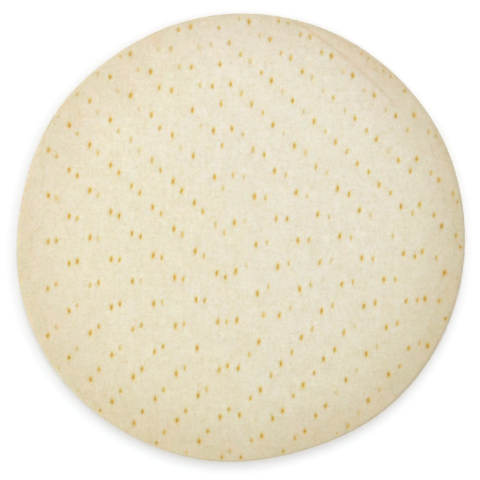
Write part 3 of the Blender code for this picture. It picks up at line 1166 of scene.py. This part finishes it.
@dataclass(frozen=True)
class DoughFinish(Finish):
    """Pale par-baked dough: cream, toasted and partly painted with shade at the edge, golden in holes,
    browned underneath.
    """

    name: str = "par_baked_dough"
    main_colour: Colour = (0.748, 0.717, 0.645, 1.0)
    deep_cream: Colour = (0.723, 0.687, 0.587, 1.0)
    cream_cloud: Cloud = Cloud(9.0 * MM, 4.0, 0.62)
    # The tints of the top, from the lowest to the highest.
    butter: Colour = (0.997, 0.988, 0.936, 1.0)
    butter_cloud: Cloud = Cloud(55.0 * MM, start=0.353, end=0.832, shift=(0.41, 2.0, 0.0))
    butter_drift: Place = (-4.0, -0.58, 0.0)
    freckle: Colour = (0.975, 0.955, 0.88, 1.0)
    freckle_cloud: Cloud = Cloud(2.4 * MM, 2.0, 0.6)
    streak: Colour = (0.975, 0.965, 0.94, 1.0)
    streak_clouds: tuple[Cloud, ...] = (
        Cloud(2.2 * MM, 3.0, 0.6, 0.45, 0.75, stretch=(1.0, 0.14, 1.0)),
        Cloud(2.2 * MM, 3.0, 0.6, 0.45, 0.75, stretch=(0.14, 1.0, 1.0)),
    )
    crumb: Colour = (0.95, 0.945, 0.90, 1.0)
    crumb_cloud: Cloud = Cloud(1.5 * MM, 1.0)
    speck: Colour = (0.93, 0.85, 0.68, 1.0)
    speck_spacing: float = 7.0 * MM
    speck_reach: float = 0.9 * MM
    speck_chance: Span = (0.3, 1.0)
    thread: Colour = (0.985, 0.935, 0.86, 1.0)
    thread_cloud: Cloud = Cloud(13.0 * MM, stretch=(1.0, 0.5, 1.0))
    thread_patch: Cloud = Cloud(16.0 * MM, 1.0, start=0.42, end=0.58)
    thread_width: float = 0.028
    thread_reach: float = 70.0 * MM
    thread_least: float = 0.25
    patch_cloud: Cloud = Cloud(34.0 * MM, 3.0, 0.55, 0.25, 0.75)
    # The toast tans the edge band and leans darker to the lower right: partly real toasting, partly painted
    # shade on that side.
    toast: Colour = (0.912, 0.888, 0.747, 1.0)
    toast_reach: float = 23.0 * MM
    toast_reach_lean: Lean = Lean(275.0, 0.625)
    toast_lean: Lean = Lean(330.0, 0.33)
    toast_least: float = 0.8
    toast_most: float = 1.15
    blush: Colour = (0.984, 0.935, 0.947, 1.0)
    blush_reach: float = 25.2 * MM
    blush_lean: Lean = Lean(167.0, 0.205)
    blush_wander: float = 57.0 * MM
    blush_fade: Span = (1.78, 0.12)
    blot_warm: Colour = (1.0, 0.985, 0.987, 1.0)
    blot_cool: Colour = (0.960, 1.0, 1.0, 1.0)
    blot_cloud: Cloud = Cloud(10.0 * MM, 3.0, 0.6, 0.36, 0.64)
    blot_reach: float = 50.0 * MM
    fold: Colour = (0.953, 0.865, 0.757, 1.0)
    halo: Colour = (0.975, 0.925, 0.74, 1.0)
    prick_gold: Colour = (0.996, 0.857, 0.465, 1.0)
    gold_gain: float = 1.6
    prick_brown: Colour = (0.94, 0.77, 0.33, 1.0)
    brown_rise: Span = (0.5, 1.3)
    # The underside.
    under_pale: Colour = (0.66, 0.57, 0.42, 1.0)
    under_brown: Colour = (0.47, 0.33, 0.185, 1.0)
    under_cloud: Cloud = Cloud(14.0 * MM, 4.0, 0.6, 0.42, 0.78)
    under_rise: Span = (0.15, 0.8)
    # The sheen, the grain and the light that passes through the skin.
    roughness: float = 0.80
    roughness_spread: float = 0.12
    grain_cloud: Cloud = Cloud(0.55 * MM, 3.0, 0.6)
    grain_height: float = 0.05 * MM
    glow: float = 0.6
    glow_reach: Place = (1.0, 0.6, 0.3)
    glow_scale: float = 1.2 * MM

    def shader(self, graph: Graph) -> Expr:
        """Build the shader of the dough.

        Args:
            graph: The material's graph.

        Returns:
            The shader.
        """
        top = graph.mixed(self.cream_cloud.share(graph), self.deep_cream, self.main_colour)
        for share, tint in self.tints(graph):
            top = graph.mixed(share, top, tint, "MULTIPLY")
        under = graph.mixed(self.under_cloud.share(graph), self.under_pale, self.under_brown)
        colour = graph.mixed(graph.rise(graph.attribute(Skin.UNDER), *self.under_rise), top, under)
        grain = self.grain_cloud.noise(graph)
        bump = graph.expr("ShaderNodeBump", None, {
            "Strength": 1.0, "Distance": self.grain_height, "Height": grain})
        return graph.expr("ShaderNodeBsdfPrincipled", None, {
            "Base Color": colour, "Roughness": self.roughness + (grain - 0.5) * self.roughness_spread,
            "Normal": bump, "Subsurface Weight": self.glow, "Subsurface Radius": self.glow_reach,
            "Subsurface Scale": self.glow_scale})

    def tints(self, graph: Graph) -> Iterator[tuple[Expr, Feed]]:
        """Work out the tints of the top, from the lowest to the highest.

        Args:
            graph: The material's graph.

        Yields:
            How far each tint is laid on, and the tint.
        """
        yield self.butter_cloud.share(graph, graph.dot(graph.place(), self.butter_drift)), self.butter
        yield self.freckle_cloud.share(graph), self.freckle
        for cloud in self.streak_clouds:
            yield cloud.share(graph), self.streak
        yield self.crumb_cloud.share(graph), self.crumb
        yield self.speckled(graph), self.speck
        inset = graph.attribute(Skin.INSET)
        yield self.threaded(graph, inset), self.thread
        patch = self.patch_cloud.noise(graph)
        # The toast darkens the edge band, more to the lower right, where it is partly painted shade.
        reach = self.toast_reach_lean.factor(graph) * -self.toast_reach
        toast_and_shade_share = graph.math("EXPONENT", inset / reach) * self.toast_lean.factor(graph)
        toast_and_shade_share *= graph.rise(patch, self.patch_cloud.start, self.patch_cloud.end,
                              self.toast_least, self.toast_most)
        yield toast_and_shade_share, self.toast
        edge = self.blush_lean.factor(graph) * self.blush_reach
        inward = (inset + (patch - 0.5) * self.blush_wander) / edge
        yield graph.rise(inward, *self.blush_fade), self.blush
        blot = graph.mixed(self.blot_cloud.share(graph), self.blot_cool, self.blot_warm)
        yield graph.rise(inset, self.blot_reach, 0.0), blot
        yield graph.attribute(Skin.FOLD), self.fold
        yield graph.attribute(Skin.HALO), self.halo
        prick = graph.attribute(Skin.PRICK)
        yield graph.math("MINIMUM", prick * self.gold_gain, 1.0), self.prick_gold
        yield graph.rise(prick, *self.brown_rise), self.prick_brown

    def speckled(self, graph: Graph) -> Expr:
        """Strew faint baked specks of varied size and strength.

        Args:
            graph: The material's graph.

        Returns:
            How strong the speck is at a point.
        """
        cells = graph.node("ShaderNodeTexVoronoi", {"voronoi_dimensions": "2D"}, {
            "Vector": graph.place(), "Scale": 1.0 / self.speck_spacing})
        away = Expr(graph, graph.pick(cells.outputs, "Distance")) * self.speck_spacing
        chance, size, _ = graph.split(Expr(graph, graph.pick(cells.outputs, "Color")))
        reach = size * self.speck_reach + self.speck_reach / 2
        return graph.rise(away, reach, 0.0) * graph.rise(chance, *self.speck_chance)

    def threaded(self, graph: Graph, inset: Expr) -> Expr:
        """Draw fine tan wrinkles of the skin, in patches and mostly towards the edge.

        Args:
            graph: The material's graph.
            inset: How far inside the outline a point lies.

        Returns:
            How strong the wrinkle is at a point.
        """
        off_line = graph.math("ABSOLUTE", self.thread_cloud.noise(graph) - 0.5)
        line = graph.rise(off_line, self.thread_width, 0.0)
        patch = self.thread_patch.share(graph)
        return line * patch * graph.rise(inset, self.thread_reach, 0.0, self.thread_least, 1.0)


@dataclass(frozen=True)
class WorktopFinish(Finish):
    """A plain white worktop."""

    name: str = "white_worktop"
    main_colour: Colour = (0.938, 0.947, 0.960, 1.0)
    roughness: float = 0.9

    def shader(self, graph: Graph) -> Expr:
        """Return the shader of the worktop."""
        return graph.expr("ShaderNodeBsdfPrincipled", None, {
            "Base Color": self.main_colour, "Roughness": self.roughness, "Specular IOR Level": 0.0})


# ---- The studio ----------------------------------------------------------------------------------------


@dataclass(frozen=True)
class SoftBox:
    """A large square lamp that faces the crust."""

    name: str
    azimuth: float
    elevation: float
    light: float
    distance: float = 1.5
    size: float = 0.8

    def hang(self, lit: bpy.types.Collection) -> None:
        """Put the lamp up, so strong that it adds its light to a white face at the origin that looks up.

        Args:
            lit: What the lamp shines on; everything still casts its shadow there.
        """
        turn, rise = math.radians(self.azimuth), math.radians(self.elevation)
        towards = Vector((math.cos(turn) * math.cos(rise), math.sin(turn) * math.cos(rise), math.sin(rise)))
        lamp = bpy.data.lights.new(self.name, "AREA")
        lamp.shape = "SQUARE"
        lamp.size = self.size
        lamp.energy = self.light * (math.pi * self.distance) ** 2 / math.sin(rise)
        holder = linked(self.name, lamp)
        holder.location = towards * self.distance
        holder.rotation_euler = towards.to_track_quat("Z", "Y").to_euler()
        holder.light_linking.receiver_collection = lit


@dataclass(frozen=True)
class Studio:
    """The worktop, the light and the camera straight above."""

    crust: bpy.types.Object
    floor_size: float = 8.0
    ambient: float = 0.5
    lens: float = 300.0
    sensor: float = 36.0
    view_width: float = 325.5 * MM
    view_level: float = 2.6 * MM
    view_centre: Point = (-0.59 * MM, -1.55 * MM)
    crust_lamps: tuple[SoftBox, ...] = (
        SoftBox("key_softbox", azimuth=130.0, elevation=67.0, light=0.62),
        SoftBox("left_softbox", azimuth=225.0, elevation=20.0, light=0.09),
        SoftBox("right_softbox", azimuth=345.0, elevation=20.0, light=0.04),
    )
    # The worktop is lit apart from the crust, by a ring of low lamps and a backlight.
    ring_lamps: int = 8
    ring_elevation: float = 20.0
    ring_side: float = 50.0
    ring_light: float = 0.073
    ring_lean: float = 0.20
    backlight: SoftBox = SoftBox("worktop_backlight", azimuth=90.0, elevation=45.0, light=0.13)

    def build(self) -> None:
        """Set up the whole studio."""
        self.light(self.lay_floor())
        self.mount_camera()

    def lay_floor(self) -> bpy.types.Object:
        """Lay the worktop that the crust lies on.

        Returns:
            The worktop.
        """
        half = self.floor_size / 2
        corners = [(-half, -half, 0.0), (half, -half, 0.0), (half, half, 0.0), (-half, half, 0.0)]
        mesh = bpy.data.meshes.new("worktop")
        mesh.from_pydata(corners, [], [range(len(corners))])
        mesh.materials.append(WorktopFinish().material())
        floor = linked("worktop", mesh)
        floor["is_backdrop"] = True
        return floor

    def ring(self) -> Iterator[SoftBox]:
        """Set out the low lamps round the worktop, a little stronger on one side.

        Yields:
            The lamps.
        """
        for index in range(self.ring_lamps):
            azimuth = 360.0 / self.ring_lamps * index
            lean = 1.0 + self.ring_lean * math.cos(math.radians(azimuth - self.ring_side))
            yield SoftBox(f"worktop_lamp_{index}", azimuth, self.ring_elevation, self.ring_light * lean)

    def light(self, floor: bpy.types.Object) -> None:
        """Hang the lamps of the crust and of the worktop, and set the even light of the room.

        Args:
            floor: The worktop.
        """
        for lit, lamps in ((self.crust, self.crust_lamps), (floor, (*self.ring(), self.backlight))):
            group = bpy.data.collections.new(f"{lit.name}_light")
            group.objects.link(lit)
            for lamp in lamps:
                lamp.hang(group)
        world = bpy.data.worlds.new("white_room")
        world.use_nodes = True
        graph = Graph(world.node_tree)
        room = graph.expr("ShaderNodeBackground", None, {"Color": WHITE, "Strength": self.ambient})
        graph.node("ShaderNodeOutputWorld", None, {"Surface": room})
        bpy.context.scene.world = world
        bpy.context.scene.view_settings.view_transform = "Standard"

    def mount_camera(self) -> None:
        """Mount the camera straight above the crust."""
        camera = bpy.data.cameras.new("overhead_camera")
        camera.lens = self.lens
        camera.sensor_width = self.sensor
        height = self.view_width * self.lens / self.sensor
        holder = linked("overhead_camera", camera)
        holder.location = (*self.view_centre, self.view_level + height)
        bpy.context.scene.camera = holder


def make_crust() -> bpy.types.Object:
    """Build the dressed crust in the place of its CAD node.

    Returns:
        The crust.
    """
    low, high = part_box(NODE)
    shape = CrustShape(thickness=high.z - low.z)
    docker = Docker()
    holes = docker.holes(shape)
    LOG.info("docker: %d holes", len(holes))
    blank = CrustBlank(shape, holes).mesh()
    LOG.info("blank: %d vertices, %d faces", len(blank.vertices), len(blank.polygons))
    crust = Baking().press(blank, docker.pins(holes, shape.centre()), DoughFinish().material())
    crust.data.calc_loop_triangles()
    LOG.info("%s: %d triangles", crust.name, len(crust.data.loop_triangles))
    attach(crust, BODY)
    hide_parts(NODE)
    return crust


def write_sizes() -> None:
    """Work out the box of the CAD model and that of the dressed crust; nothing is written."""
    boxes = {"cad": CAD_BOX, "visual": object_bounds()}
    {name: [list(corner) for corner in box] for name, box in boxes.items()}


def main() -> None:
    """Build the crust and the studio round it."""
    logging.basicConfig(level=logging.INFO, format="%(name)s: %(message)s")
    studio = Studio(make_crust())
    studio.build()
    LOG.info("studio: worktop, camera, %d lamps on the crust and %d on the worktop",
             len(studio.crust_lamps), studio.ring_lamps + 1)
    write_sizes()


if __name__ == "__main__":
    main()
